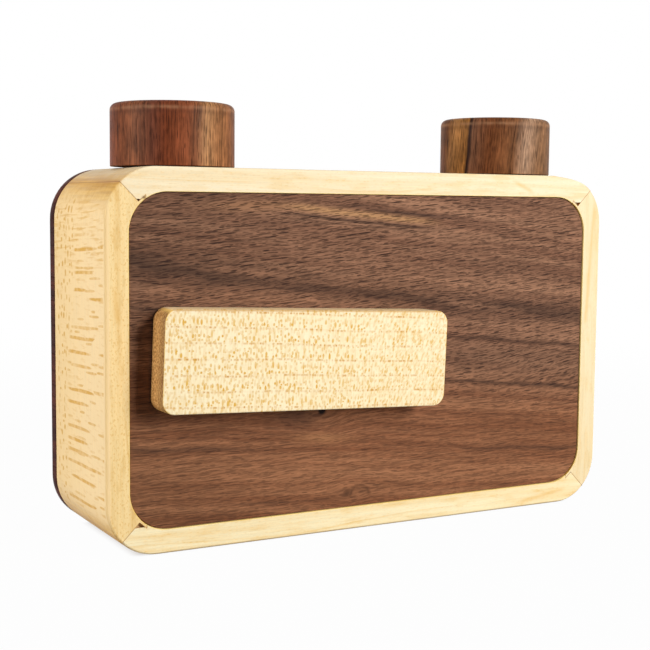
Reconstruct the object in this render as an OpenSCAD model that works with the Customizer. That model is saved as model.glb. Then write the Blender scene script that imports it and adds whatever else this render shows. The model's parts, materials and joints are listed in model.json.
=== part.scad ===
// Wooden pinhole camera for roll film: a maple frame with a walnut front panel and rear cover, two
// winding knobs on the top and a sliding shutter bar on the front. Millimetres. The front faces -Y,
// +X is the viewer's right and Z = 0 is the base. The origin is the mouth of the tripod socket.
// The case is sized from the inside out, from the film spool and the picture to the rails.

/* [Film and picture] */
// Width of the picture between the chamber walls
image_w = 56.8; // [50:0.2:110]
// Height of the picture between the gate rails
image_h = 56; // [50:0.5:60]
// Length of a film spool over its flanges
spool_len = 65.8; // [64:0.1:72]
// Diameter of the spool's flanges
spool_flange_d = 25.2; // [24:0.1:30]
// Thickness of the spool's flanges
spool_flange_t = 1.4; // [1:0.1:2]
// Diameter of the spool's core
spool_core_d = 12; // [11.5:0.1:16]
// Width of the slot in the core that takes the paper's end
spool_slot_w = 1.6; // [1:0.1:2.5]
// Length of that slot
spool_slot_len = 44; // [30:1:50]

/* [Spool bays] */
// Room between a spool's flange and the side rail
bay_side_gap = 0.5; // [0.4:0.1:4]
// Room between a spool's flange and the front panel
bay_front_gap = 0.45; // [0.4:0.05:4]
// Room between a spool's flange and the chamber wall
bay_wall_gap = 1.6; // [1:0.1:5]
// Room above and below the spool
bay_end_gap = 0.7; // [0.5:0.1:3]
// Depth behind the spool in which the film turns onto the gate
film_turn = 2.95; // [1:0.05:8]

/* [Rails] */
// Thickness of the four rails
rail_t = 9.4; // [8.5:0.1:14]
// Outer radius of the case's corners
corner_r = 12; // [10:0.1:16]
// Width of maple that shows round the front panel
face_border = 5.5; // [4.5:0.1:6.5]
// Radius of the corners of the panel's pocket
pocket_r = 9; // [7:0.1:10]
// Distance that the corner mitre runs in from the two outer faces
mitre_run = 7.7; // [6:0.1:7.8]
// Drop of the side rail's foot, from the end of the mitre to the rail's inner face
foot_drop = 1.6; // [1.4:0.1:2.2]
// Depth of the open spots in the corner joints, behind the front face
joint_gap_d = 0.9; // [0.5:0.1:3]
// Length lost from the tip of the top rail in the left joint, where it leaves an open spot
joint_gap_tl = 0.5; // [0.1:0.05:1.3]
// Length lost from the tip of the top rail in the right joint
joint_gap_tr = 0.9; // [0.1:0.05:1.3]
// Length lost from the tip of the bottom rail in the left joint
joint_gap_bl = 1.2; // [0.1:0.05:1.3]
// Length lost from the tip of the bottom rail in the right joint
joint_gap_br = 0.2; // [0.1:0.05:1.3]

/* [Front panel and pinhole] */
// Thickness of the front panel
panel_t = 3.4; // [3.2:0.1:6]
// Depth of the panel's face below the face of the rails
panel_recess = 0.4; // [0:0.1:0.6]
// Play of the panel in its pocket
panel_ease = 0.1; // [0.05:0.05:0.3]
// Radius of the pinhole plate
plate_r = 7; // [6:0.5:9]
// Thickness of the pinhole plate
plate_t = 0.2; // [0.1:0.05:0.4]
// Diameter of the pinhole
pinhole_d = 0.3; // [0.2:0.05:0.5]
// Thickness of the ring that keeps the plate
retainer_t = 1.4; // [1:0.1:1.6]
// Radius of the opening through that ring
retainer_bore_r = 4.6; // [3.5:0.1:5]
// Radius of the countersink at the panel's face
countersink_r = 5; // [4:0.1:6]
// Radius of the countersink at the plate
countersink_floor_r = 3; // [2:0.1:3.5]

/* [Chamber] */
// Thickness of the two chamber walls
wall_t = 3.4; // [2.5:0.1:6]
// Depth of the gate rails
gate_t = 4; // [3:0.5:8]
// Room for the film between the gate and the rear cover's inner plate
film_gap = 0.6; // [0.4:0.1:0.9]

/* [Shutter] */
// Length of the shutter bar
bar_l = 73.2; // [66:0.2:80]
// Height of the shutter bar
bar_h = 23; // [20:0.2:28]
// Thickness of the shutter bar
bar_t = 6.75; // [5.5:0.05:9]
// Radius of the bar's corners
bar_corner_r = 3; // [1:0.1:5]
// Angle at which the bar hangs in its groove, right end down
bar_tilt = 2.1; // [0:0.1:3]
// Reach of the closed bar past the pinhole
bar_cover = 15.3; // [12:0.1:20]
// Clear width beside the pinhole when the bar is open
bar_open_gap = 11.7; // [10:0.1:14]
// Height of the pinhole above the guide groove
groove_drop = 0.5; // [0:0.1:1.5]
// Gap between the bar and the face of the rails
bar_gap = 0.2; // [0.1:0.05:0.5]
// Radius of the guide pins
guide_pin_r = 1.5; // [1:0.1:2]
// Distance between the two guide pins
guide_pin_pitch = 17; // [12:0.5:20]
// Depth of the guide pins in the bar
guide_pin_seat = 4; // [3:0.1:5]
// Side play of a guide pin in its groove
guide_play = 0.2; // [0.1:0.05:0.5]
// Depth of the guide groove in the panel
groove_depth = 2; // [1.5:0.1:2.2]
// Room between the guide pins and the floor of the groove
groove_floor_gap = 0.4; // [0.2:0.1:0.6]
// Radius of the felt pad that seals the pinhole
pad_r = 7; // [6:0.5:8]
// Distance from the felt pad to the nearer guide pin
pad_pin_gap = 2.5; // [1:0.1:4]
// Gap between the felt pad and the panel
pad_gap = 0.1; // [0.05:0.05:0.2]

/* [Magnets] */
// Radius of all the magnets
magnet_r = 3; // [2:0.1:3.2]
// Length of the magnets in the shutter bar
bar_magnet_t = 3; // [2:0.1:4]
// Length of the magnets in the panel
panel_magnet_t = 2; // [1.5:0.1:2.2]
// Height of the shutter's magnet rows above and below the groove
magnet_row = 6.8; // [6:0.1:7.5]
// Distance from the left end of the bar to its first magnets
bar_magnet_inset = 7.9; // [6:0.1:8]
// Length of the magnets in the frame
frame_magnet_t = 4; // [3:0.1:6]
// Length of the magnets in the rear cover
cover_magnet_t = 2; // [1.5:0.1:2.5]
// Distance of the upper and lower cover magnets from the middle
magnet_spread = 25; // [18:0.5:26]

/* [Rear cover] */
// Thickness of the rear cover
cover_t = 3; // [2.6:0.1:5]
// Thickness of the inner plate that traps the light
trap_t = 3; // [2:0.1:5]
// Play of the inner plate in the frame
trap_ease = 0.3; // [0.2:0.05:0.6]
// Radius of the inner plate's corners
trap_corner_r = 3; // [1:0.5:8]
// Radius of the counter window
window_r = 6; // [5:0.1:8]
// Thickness of the counter window
window_t = 1.5; // [1:0.1:1.8]
// Radius of the opening in front of the window
window_view_r = 4.5; // [3:0.1:4.8]
// Radius of the flap's round ends
flap_r = 7.5; // [6.5:0.1:9]
// Thickness of the flap
flap_t = 2; // [1.5:0.1:4]
// Distance from the counter window to the flap's screw
flap_reach = 15; // [14:0.5:20]
// Gap between the flap and the rear cover
flap_gap = 0.1; // [0.05:0.05:0.2]
// Radius of the flap screw's shank
screw_r = 1.6; // [1.2:0.1:2]
// Depth of the screw in the wood
screw_seat = 4.5; // [3.5:0.1:5]
// Radius of the screw's head
screw_head_r = 3.2; // [2.8:0.1:4]
// Height of the screw's head
screw_head_t = 1.2; // [1:0.1:2]
// Width of the slot in the screw's head
screw_slot_w = 0.8; // [0.6:0.1:1]
// Depth of the slot in the screw's head
screw_slot_d = 0.6; // [0.4:0.1:0.8]

/* [Winding gear] */
// Diameter of the knobs
knob_d = 28.7; // [24:0.1:34]
// Height of the knobs
knob_h = 14.4; // [12:0.1:20]
// Radius of the rounded upper edge of the knobs
knob_round = 1.6; // [0.5:0.1:4]
// Depth of the shaft's socket in the knob
knob_socket = 9.5; // [8:0.1:10]
// Radius of the washers below the knobs
washer_r = 10; // [8:0.5:12]
// Thickness of the washers below the knobs
washer_t = 0.3; // [0.2:0.1:1.5]
// Radius of the winding shafts
shaft_r = 3; // [2.5:0.1:3.5]
// Radius of the collar that stops a shaft from pulling out
collar_r = 4.8; // [4.2:0.1:5.5]
// Thickness of the collar
collar_t = 1.2; // [0.8:0.1:2]
// Height by which a knob pulls up
lift = 4.2; // [4:0.1:5]
// Width of the key blade across the shaft
key_w = 9.4; // [8:0.1:9.6]
// Thickness of the key blade
key_t = 2; // [1.5:0.1:2.4]
// Depth of the key blade in the spool
key_depth = 3.2; // [2.5:0.1:3.6]
// Radius of the brass bushes
bush_r = 4.5; // [4:0.1:5]
// Radius of the flange of the brass bushes
bush_flange_r = 6.5; // [5.5:0.1:8]
// Thickness of the flange of the brass bushes
bush_flange_t = 0.8; // [0.5:0.1:1.5]
// Radius of the pivots below the spools
pivot_r = 3; // [2.5:0.1:3.2]
// Height of the pivots inside the spools
pivot_h = 4; // [3:0.1:6]
// Radius of the pivot's collar
pivot_collar_r = 5; // [4:0.1:6]
// Radius of the pivot's stem in the rail
stem_r = 2; // [1.5:0.1:2.5]
// Depth of the pivot's stem in the rail
stem_seat = 5; // [4:0.1:6]

/* [Tripod socket] */
// Outer radius of the tripod bush
tripod_bush_r = 5; // [4.5:0.1:6]
// Length of the tripod bush
tripod_bush_len = 8; // [7:0.1:8.2]
// Radius of the socket, over the threads of a quarter inch screw
tripod_bore_r = 3.175; // [3.175:0.01:3.2]
// Depth of the socket
tripod_bore_len = 6.5; // [6:0.1:6.8]

/* [Fits] */
// Radial room of glued and pressed pieces
seat_fit = 0.03; // [0.01:0.01:0.05]
// Radial room of turning and sliding shafts
run_fit = 0.05; // [0.02:0.01:0.1]
// Radial room round a collar or a key that must pass freely
free_fit = 0.4; // [0.3:0.1:0.6]

/* [Hidden] */
// Smoothness of round surfaces
$fn = 96;
// Length by which a cutting shape passes the surface that it cuts
cut = 1;
// Length by which the corner territories pass the case's outline
overrun = 2;

// Places along Y, from the front to the back
chamber_d = bay_front_gap + spool_flange_d + film_turn;
frame_d = panel_recess + panel_t + chamber_d + film_gap + trap_t;
front_y = -(frame_d + cover_t) / 2;
panel_front_y = front_y + panel_recess;
panel_back_y = panel_front_y + panel_t;
film_y = panel_back_y + chamber_d;
trap_front_y = film_y + film_gap;
frame_back_y = front_y + frame_d;
cover_back_y = frame_back_y + cover_t;
plate_front_y = panel_back_y - retainer_t - plate_t;
axle_y = panel_back_y + bay_front_gap + spool_flange_d / 2;

// Places along X and Z
wall_outer_x = image_w / 2 + wall_t;
axle_x = wall_outer_x + bay_wall_gap + spool_flange_d / 2;
body_w = 2 * (axle_x + spool_flange_d / 2 + bay_side_gap + rail_t);
floor_z = rail_t;
spool_bottom_z = floor_z + bay_end_gap;
spool_top_z = spool_bottom_z + spool_len;
ceiling_z = spool_top_z + bay_end_gap;
body_h = ceiling_z + rail_t;
middle_z = body_h / 2;
takeup = -1;
supply = 1;

// Winding shaft, from the key up to the knob
collar_gap = 0.2;
stop_gap = 0.1;
socket_gap = 0.2;
key_bottom_z = spool_top_z - key_depth;
collar_bottom_z = spool_top_z + collar_gap;
collar_top_z = collar_bottom_z + collar_t;
counterbore_top_z = collar_top_z + lift + stop_gap;
knob_bottom_z = body_h + washer_t;
knob_top_z = knob_bottom_z + knob_h;

// Shutter, with places along the bar measured from the middle of its guide pins
travel = bar_cover + bar_open_gap;
near_pin_x = -(pad_r + pad_pin_gap + guide_pin_r);
guide_x = near_pin_x - guide_pin_pitch / 2;
guide_z = middle_z - groove_drop;
bar_right = bar_cover - guide_x;
bar_left = bar_right - bar_l;
bar_back_y = front_y - bar_gap;
bar_front_y = bar_back_y - bar_t;
pad_t = panel_front_y - pad_gap - bar_back_y;
groove_w = 2 * guide_pin_r + guide_pin_pitch * sin(bar_tilt) + 2 * guide_play;
groove_left = near_pin_x - guide_pin_pitch - travel - guide_pin_r - guide_play;
groove_right = near_pin_x + guide_pin_r + guide_play;
groove_floor_y = panel_front_y + groove_depth;
first_magnet = bar_left + bar_magnet_inset;
magnet_columns = [first_magnet, first_magnet + travel];

// Spots of the six magnets that hold the rear cover, as X and Z
cover_magnet_spots = [
    for (level = [rail_t / 2, body_h - rail_t / 2], side = [-1, 1]) [side * magnet_spread, level],
    for (side = [-1, 1]) [side * (body_w - rail_t) / 2, middle_z]
];

// Finishes
maple = [0.94, 0.84, 0.64];
walnut = [0.36, 0.24, 0.17];
black_wood = [0.09, 0.08, 0.08];
brass = [0.76, 0.60, 0.28];
steel = [0.68, 0.69, 0.70];
nickel = [0.80, 0.80, 0.78];
felt = [0.12, 0.12, 0.13];
black_plastic = [0.07, 0.07, 0.08];
red_plastic = [0.62, 0.05, 0.06];

// Flat shapes, drawn in the plane of the front with X to the right and Z up

// Rectangle with round corners, centred
module rounded_rectangle(w, h, r) {
    square([w - 2 * r, h], center = true);
    square([w, h - 2 * r], center = true);
    for (sx = [-1, 1], sz = [-1, 1])
        translate([sx * (w / 2 - r), sz * (h / 2 - r)]) circle(r);
}

// Outline of the case
module case_outline() {
    translate([0, middle_z]) rounded_rectangle(body_w, body_h, corner_r);
}

// Outline of the panel's pocket, drawn in by the play of what lies in it
module pocket_outline(play = 0) {
    inset = face_border + play;
    translate([0, middle_z])
        rounded_rectangle(body_w - 2 * inset, body_h - 2 * inset, pocket_r - play);
}

// Point near a corner of the case: u in from the side face, v in from the top or bottom face
function corner_point(side, level, u, v) =
    [side * (body_w / 2 - u), level > 0 ? body_h - v : v];

// Line of a corner joint, from outside the case to the foot of the side rail
function joint_line(side, level) = [
    corner_point(side, level, -overrun, -overrun),
    corner_point(side, level, mitre_run, mitre_run),
    corner_point(side, level, rail_t, mitre_run - foot_drop)
];

function reversed(list) = [for (i = [len(list) - 1:-1:0]) list[i]];

// Share of the frame that belongs to a side rail
module side_territory(side) {
    polygon(concat(joint_line(side, -1), reversed(joint_line(side, 1))));
}

// Share of the frame that belongs to the top rail (level 1) or the bottom rail (level -1)
module level_territory(level) {
    inner = [corner_point(-1, level, rail_t, rail_t), corner_point(1, level, rail_t, rail_t)];
    polygon(concat(joint_line(-1, level), inner, reversed(joint_line(1, level))));
}

// Solids that run along Y

// Flat shape stretched from one depth to another
module slab(y0, y1) {
    translate([0, y1, 0]) rotate([90, 0, 0]) linear_extrude(y1 - y0) children();
}

// Round bar along Y
module bar_y(r, y0, y1, r_end = undef) {
    translate([0, y0, 0]) rotate([-90, 0, 0])
        cylinder(h = y1 - y0, r1 = r, r2 = is_undef(r_end) ? r : r_end);
}

// Round bar along Z
module bar_z(r, z0, z1) {
    translate([0, 0, z0]) cylinder(h = z1 - z0, r = r);
}

// Block between two corners
module block(low, high) {
    translate(low) cube(high - low);
}

// Puts its children on a winding axis
module on_axle(side) {
    translate([side * axle_x, axle_y, 0]) children();
}

// Puts its children in the bar's own frame: origin between the guide pins, on the groove's line
module on_bar() {
    translate([guide_x, 0, guide_z]) rotate([0, bar_tilt, 0]) children();
}

// Frame

module panel_pocket() {
    slab(front_y - cut, panel_back_y) pocket_outline();
}

// Discs at the six magnet spots of the rear cover
module cover_discs(r, y0, y1) {
    for (spot = cover_magnet_spots)
        translate([spot[0], 0, spot[1]]) bar_y(r, y0, y1);
}

module frame_magnet_holes() {
    cover_discs(magnet_r + seat_fit, frame_back_y - frame_magnet_t, frame_back_y + cut);
}

// Piece lost from the tip of the top or bottom rail, which leaves an open spot in the corner joint
module lost_tip(side, level, length) {
    base = mitre_run - length;
    foot_u = mitre_run + (rail_t - mitre_run) * length / foot_drop;
    slab(front_y - cut, front_y + joint_gap_d) polygon([
        corner_point(side, level, base - cut, base),
        corner_point(side, level, mitre_run, mitre_run + cut),
        corner_point(side, level, (foot_u + rail_t) / 2, base)
    ]);
}

module side_rail(side) {
    color(maple) difference() {
        slab(front_y, frame_back_y) intersection() {
            case_outline();
            side_territory(side);
        }
        panel_pocket();
        frame_magnet_holes();
    }
}

module left_rail() {
    side_rail(-1);
}

module right_rail() {
    side_rail(1);
}

// Top or bottom rail before its bores are drilled
module level_rail(level, left_gap, right_gap) {
    difference() {
        slab(front_y, frame_back_y) intersection() {
            case_outline();
            level_territory(level);
        }
        panel_pocket();
        frame_magnet_holes();
        lost_tip(-1, level, left_gap);
        lost_tip(1, level, right_gap);
    }
}

module top_rail() {
    color(maple) difference() {
        level_rail(1, joint_gap_tl, joint_gap_tr);
        for (side = [takeup, supply]) on_axle(side) {
            bar_z(collar_r + free_fit, ceiling_z - cut, counterbore_top_z);
            bar_z(bush_r + seat_fit, counterbore_top_z - cut, body_h + cut);
            bar_z(bush_flange_r + seat_fit, body_h - bush_flange_t, body_h + cut);
        }
    }
}

module bottom_rail() {
    color(maple) difference() {
        level_rail(-1, joint_gap_bl, joint_gap_br);
        bar_z(tripod_bush_r + seat_fit, -cut, tripod_bush_len);
        for (side = [takeup, supply]) on_axle(side)
            bar_z(stem_r + seat_fit, floor_z - stem_seat, floor_z + cut);
    }
}

module tripod_bush() {
    color(brass) difference() {
        bar_z(tripod_bush_r, 0, tripod_bush_len);
        bar_z(tripod_bore_r, -cut, tripod_bore_len);
    }
}

module frame_magnets() {
    color(nickel) cover_discs(magnet_r, frame_back_y - frame_magnet_t, frame_back_y);
}

// Front panel and pinhole

// Discs at the magnet spots in the panel, above and below the groove
module panel_discs(r, y0, y1) {
    for (column = magnet_columns, row = [-magnet_row, magnet_row])
        translate([guide_x + column, 0, guide_z + row]) bar_y(r, y0, y1);
}

module guide_groove() {
    slab(panel_front_y - cut, groove_floor_y)
        translate([(groove_left + groove_right) / 2, guide_z])
            square([groove_right - groove_left, groove_w], center = true);
}

module front_panel() {
    color(walnut) difference() {
        slab(panel_front_y, panel_back_y) pocket_outline(panel_ease);
        guide_groove();
        panel_discs(magnet_r + seat_fit, panel_back_y - panel_magnet_t, panel_back_y + cut);
        translate([0, 0, middle_z]) {
            bar_y(countersink_r, panel_front_y, plate_front_y, countersink_floor_r);
            bar_y(plate_r + seat_fit, plate_front_y, panel_back_y + cut);
        }
    }
}

module panel_magnets() {
    color(nickel) panel_discs(magnet_r, panel_back_y - panel_magnet_t, panel_back_y);
}

module pinhole_plate() {
    color(steel) translate([0, 0, middle_z]) difference() {
        bar_y(plate_r, plate_front_y, plate_front_y + plate_t);
        bar_y(pinhole_d / 2, plate_front_y - cut, plate_front_y + plate_t + cut);
    }
}

module pinhole_retainer() {
    color(black_plastic) translate([0, 0, middle_z]) difference() {
        bar_y(plate_r, plate_front_y + plate_t, panel_back_y);
        bar_y(retainer_bore_r, plate_front_y, panel_back_y + cut);
    }
}

// Chamber

// Wall beside the picture, with a round nose over which the film slides
module chamber_wall(side) {
    middle_x = side * (image_w + wall_t) / 2;
    nose_r = wall_t / 2;
    color(black_wood) {
        block([middle_x - nose_r, panel_back_y, floor_z], [middle_x + nose_r, film_y - nose_r, ceiling_z]);
        translate([middle_x, film_y - nose_r, 0]) bar_z(nose_r, floor_z, ceiling_z);
    }
}

module left_chamber_wall() {
    chamber_wall(-1);
}

module right_chamber_wall() {
    chamber_wall(1);
}

// Strip above or below the picture that carries the film's edge
module gate_rail(z0, z1) {
    color(black_wood)
        block([-image_w / 2, film_y - gate_t, z0], [image_w / 2, film_y, z1]);
}

module upper_gate_rail() {
    gate_rail(middle_z + image_h / 2, ceiling_z);
}

module lower_gate_rail() {
    gate_rail(floor_z, middle_z - image_h / 2);
}

// Shutter

// Discs on the back of the bar at its magnets
module bar_discs(r, y0, y1) {
    on_bar() for (column = magnet_columns, row = [-magnet_row, magnet_row])
        translate([column, 0, row]) bar_y(r, y0, y1);
}

// Rods on the back of the bar at its guide pins
module bar_rods(r, y0, y1) {
    on_bar() for (side = [-1, 1])
        translate([side * guide_pin_pitch / 2, 0, 0]) bar_y(r, y0, y1);
}

module shutter_bar() {
    color(maple) difference() {
        on_bar() slab(bar_front_y, bar_back_y)
            translate([(bar_left + bar_right) / 2, 0]) rounded_rectangle(bar_l, bar_h, bar_corner_r);
        bar_discs(magnet_r + seat_fit, bar_back_y - bar_magnet_t, bar_back_y + cut);
        bar_rods(guide_pin_r + seat_fit, bar_back_y - guide_pin_seat, bar_back_y + cut);
    }
}

module shutter_guide_pins() {
    color(steel) bar_rods(guide_pin_r, bar_back_y - guide_pin_seat, groove_floor_y - groove_floor_gap);
}

module shutter_magnets() {
    color(nickel) bar_discs(magnet_r, bar_back_y - bar_magnet_t, bar_back_y);
}

module shutter_pad() {
    color(felt) on_bar() translate([-guide_x, 0, 0]) bar_y(pad_r, bar_back_y, bar_back_y + pad_t);
}

// Winding gear, the same on both sides

module bush(side) {
    color(brass) on_axle(side) difference() {
        union() {
            bar_z(bush_r, counterbore_top_z, body_h);
            bar_z(bush_flange_r, body_h - bush_flange_t, body_h);
        }
        bar_z(shaft_r + run_fit, counterbore_top_z - cut, body_h + cut);
    }
}

// Lower bearing of a spool, with a collar that the spool stands on
module pivot(side) {
    color(steel) on_axle(side) {
        bar_z(stem_r, floor_z - stem_seat, floor_z);
        bar_z(pivot_collar_r, floor_z, spool_bottom_z);
        bar_z(pivot_r, spool_bottom_z, spool_bottom_z + pivot_h);
    }
}

module washer(side) {
    color(felt) on_axle(side) difference() {
        bar_z(washer_r, body_h, knob_bottom_z);
        bar_z(shaft_r + run_fit, body_h - cut, knob_bottom_z + cut);
    }
}

// Plain round knob with a rounded upper edge and a blind socket for the shaft
module knob(side) {
    knob_r = knob_d / 2;
    color(walnut) on_axle(side) difference() {
        translate([0, 0, knob_bottom_z]) rotate_extrude() {
            square([knob_r - knob_round, knob_h]);
            square([knob_r, knob_h - knob_round]);
            translate([knob_r - knob_round, knob_h - knob_round]) intersection() {
                circle(knob_round);
                square(knob_round);
            }
        }
        bar_z(shaft_r + seat_fit, knob_bottom_z - cut, knob_bottom_z + knob_socket);
    }
}

// Shaft with the collar that stops its lift and the key blade that turns the spool
module winding_shaft(side) {
    color(steel) on_axle(side) {
        bar_z(shaft_r, key_bottom_z, knob_bottom_z + knob_socket - socket_gap);
        bar_z(collar_r, collar_bottom_z, collar_top_z);
        block([-key_w / 2, -key_t / 2, key_bottom_z], [key_w / 2, key_t / 2, collar_bottom_z]);
    }
}

// Empty film spool: core and flanges, with bearings in its ends and a slot for the paper
module spool(side) {
    key_room = free_fit / 2;
    color(black_plastic) on_axle(side) difference() {
        union() {
            bar_z(spool_core_d / 2, spool_bottom_z, spool_top_z);
            bar_z(spool_flange_d / 2, spool_bottom_z, spool_bottom_z + spool_flange_t);
            bar_z(spool_flange_d / 2, spool_top_z - spool_flange_t, spool_top_z);
        }
        bar_z(pivot_r + run_fit, spool_bottom_z - cut, spool_bottom_z + pivot_h + free_fit);
        bar_z(shaft_r + run_fit, key_bottom_z - free_fit, spool_top_z + cut);
        block([-key_w / 2 - key_room, -key_t / 2 - key_room, key_bottom_z - free_fit],
            [key_w / 2 + key_room, key_t / 2 + key_room, spool_top_z + cut]);
        block([-spool_core_d, -spool_slot_w / 2, middle_z - spool_slot_len / 2],
            [spool_core_d, spool_slot_w / 2, middle_z + spool_slot_len / 2]);
    }
}

module takeup_bush() {
    bush(takeup);
}

module supply_bush() {
    bush(supply);
}

module takeup_pivot() {
    pivot(takeup);
}

module supply_pivot() {
    pivot(supply);
}

module takeup_washer() {
    washer(takeup);
}

module supply_washer() {
    washer(supply);
}

module takeup_knob() {
    knob(takeup);
}

module supply_knob() {
    knob(supply);
}

module takeup_shaft() {
    winding_shaft(takeup);
}

module supply_shaft() {
    winding_shaft(supply);
}

module takeup_spool() {
    spool(takeup);
}

// Rear cover

// Puts its children on the axis of the counter window
module on_window() {
    translate([0, 0, middle_z]) children();
}

// Puts its children on the axis of the flap's screw
module on_screw() {
    translate([0, 0, middle_z + flap_reach]) children();
}

module screw_hole() {
    on_screw() bar_y(screw_r + seat_fit, cover_back_y - screw_seat, cover_back_y + cut);
}

module rear_cover() {
    color(walnut) difference() {
        slab(frame_back_y, cover_back_y) case_outline();
        cover_discs(magnet_r + seat_fit, frame_back_y - cut, frame_back_y + cover_magnet_t);
        on_window() {
            bar_y(window_view_r, frame_back_y - cut, cover_back_y + cut);
            bar_y(window_r + seat_fit, frame_back_y - cut, frame_back_y + window_t);
        }
        screw_hole();
    }
}

module rear_light_trap() {
    trap_inset = rail_t + trap_ease;
    color(black_wood) difference() {
        slab(trap_front_y, frame_back_y) translate([0, middle_z])
            rounded_rectangle(body_w - 2 * trap_inset, body_h - 2 * trap_inset, trap_corner_r);
        on_window() bar_y(window_view_r, trap_front_y - cut, frame_back_y + cut);
        screw_hole();
    }
}

module cover_magnets() {
    color(nickel) cover_discs(magnet_r, frame_back_y, frame_back_y + cover_magnet_t);
}

module counter_window() {
    color(red_plastic) on_window() bar_y(window_r, frame_back_y, frame_back_y + window_t);
}

module window_flap() {
    flap_front_y = cover_back_y + flap_gap;
    color(maple) difference() {
        slab(flap_front_y, flap_front_y + flap_t) {
            translate([0, middle_z]) circle(flap_r);
            translate([0, middle_z + flap_reach]) circle(flap_r);
            translate([-flap_r, middle_z]) square([2 * flap_r, flap_reach]);
        }
        on_screw() bar_y(screw_r + run_fit, cover_back_y, flap_front_y + flap_t + cut);
    }
}

module window_screw() {
    head_y = cover_back_y + 2 * flap_gap + flap_t;
    head_back_y = head_y + screw_head_t;
    color(brass) on_screw() difference() {
        union() {
            bar_y(screw_r, cover_back_y - screw_seat, head_y);
            bar_y(screw_head_r, head_y, head_back_y);
        }
        block([-screw_head_r - cut, head_back_y - screw_slot_d, -screw_slot_w / 2],
            [screw_head_r + cut, head_back_y + cut, screw_slot_w / 2]);
    }
}

top_rail();
bottom_rail();
left_rail();
right_rail();
front_panel();
pinhole_plate();
pinhole_retainer();
left_chamber_wall();
right_chamber_wall();
upper_gate_rail();
lower_gate_rail();
takeup_bush();
supply_bush();
takeup_pivot();
supply_pivot();
tripod_bush();
frame_magnets();
panel_magnets();
shutter_bar();
shutter_guide_pins();
shutter_magnets();
shutter_pad();
takeup_washer();
takeup_knob();
takeup_shaft();
takeup_spool();
supply_washer();
supply_knob();
supply_shaft();
rear_cover();
rear_light_trap();
cover_magnets();
counter_window();
window_flap();
window_screw();
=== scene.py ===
# %% [markdown]
# # A wooden pinhole camera
# A frame of four maple rails holds a walnut front, a maple bar slides over the pinhole, and two walnut
# knobs wind the film. The solids come from the CAD model, so each piece here starts where its solid is.
# This lesson gives the pieces the eased edges, the grain and the polish of a camera made by hand.

# %% Load the frame
import json
import math

import bmesh
import bpy
from mathutils import Matrix, Vector


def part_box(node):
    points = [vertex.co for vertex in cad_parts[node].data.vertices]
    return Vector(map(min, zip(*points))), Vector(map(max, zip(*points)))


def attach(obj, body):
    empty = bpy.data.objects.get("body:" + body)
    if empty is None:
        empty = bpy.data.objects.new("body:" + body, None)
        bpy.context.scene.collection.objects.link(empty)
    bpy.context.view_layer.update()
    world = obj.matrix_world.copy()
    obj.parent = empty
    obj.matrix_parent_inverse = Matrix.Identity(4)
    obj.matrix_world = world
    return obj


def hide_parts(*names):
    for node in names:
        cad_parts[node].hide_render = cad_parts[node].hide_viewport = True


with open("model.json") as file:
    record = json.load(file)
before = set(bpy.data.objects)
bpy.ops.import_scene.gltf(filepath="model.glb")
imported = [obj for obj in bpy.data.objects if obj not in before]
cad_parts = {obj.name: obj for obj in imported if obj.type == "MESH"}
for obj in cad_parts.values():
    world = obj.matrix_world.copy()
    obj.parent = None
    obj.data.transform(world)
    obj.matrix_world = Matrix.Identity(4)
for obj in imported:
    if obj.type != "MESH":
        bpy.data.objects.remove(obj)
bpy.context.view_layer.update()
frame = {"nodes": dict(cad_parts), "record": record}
MM = 0.001
record = frame["record"]
body_of_node = {n: body for body, nodes in record["behaviour"]["bodies"].items() for n in nodes}
slot_of_node = {part["node"]: part["material_slot"] for part in record["subparts"]}

# %% [markdown]
# ## The viewing camera
# A photograph is matched best by building the camera's own axes from three angles: how far round the object
# it stands, how high, and how much it leans. A long lens from about 0.3 m keeps the front nearly square
# while the left side still shows.

# %% Set the viewing camera
def add_object(name, data):
    made = bpy.data.objects.new(name, data)
    bpy.context.scene.collection.objects.link(made)
    return made


azimuth = math.radians(-29.053)
elevation = math.radians(5.284)
lean = math.radians(0.533)
back_axis = Vector((
    math.sin(azimuth) * math.cos(elevation),
    -math.cos(azimuth) * math.cos(elevation),
    math.sin(elevation),
))
right_axis = Vector((math.cos(azimuth), math.sin(azimuth), 0))
up_axis = back_axis.cross(right_axis)
leaning_right = right_axis * math.cos(lean) + up_axis * math.sin(lean)
leaning_up = up_axis * math.cos(lean) - right_axis * math.sin(lean)
camera_place = Vector((-0.15997, -0.28134, 0.07752))
camera_data = bpy.data.cameras.new("viewing_camera")
camera_data.lens = 70.876
camera_data.sensor_width = 36
camera_data.clip_start = 0.01
camera = add_object("viewing_camera", camera_data)
turn = Matrix((leaning_right, leaning_up, back_axis)).transposed().to_4x4()
camera.matrix_world = Matrix.Translation(camera_place) @ turn
bpy.context.scene.camera = camera
bpy.context.scene.view_settings.view_transform = "Standard"
print("camera at", [round(v, 4) for v in camera.location])

# %% [markdown]
# ## Writing shader maths as plain sums
# A wood grain is a sum of many small patterns. Dragging a link for each plus sign would be hard to read, so
# one small class wraps a socket and lets Python's own signs add the Math nodes. The tree class makes every
# other node through a single method, for materials and for Geometry Nodes alike.

# %% Wrap sockets and trees
class Link:
    """A socket whose value can be used in sums."""

    def __init__(self, tree, socket):
        self.tree = tree
        self.socket = socket

    def __add__(self, other):
        return self.tree.math("ADD", self, other)

    def __sub__(self, other):
        return self.tree.math("SUBTRACT", self, other)

    def __rsub__(self, other):
        return self.tree.math("SUBTRACT", other, self)

    def __mul__(self, other):
        return self.tree.math("MULTIPLY", self, other)

    def __truediv__(self, other):
        return self.tree.math("DIVIDE", self, other)


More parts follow.
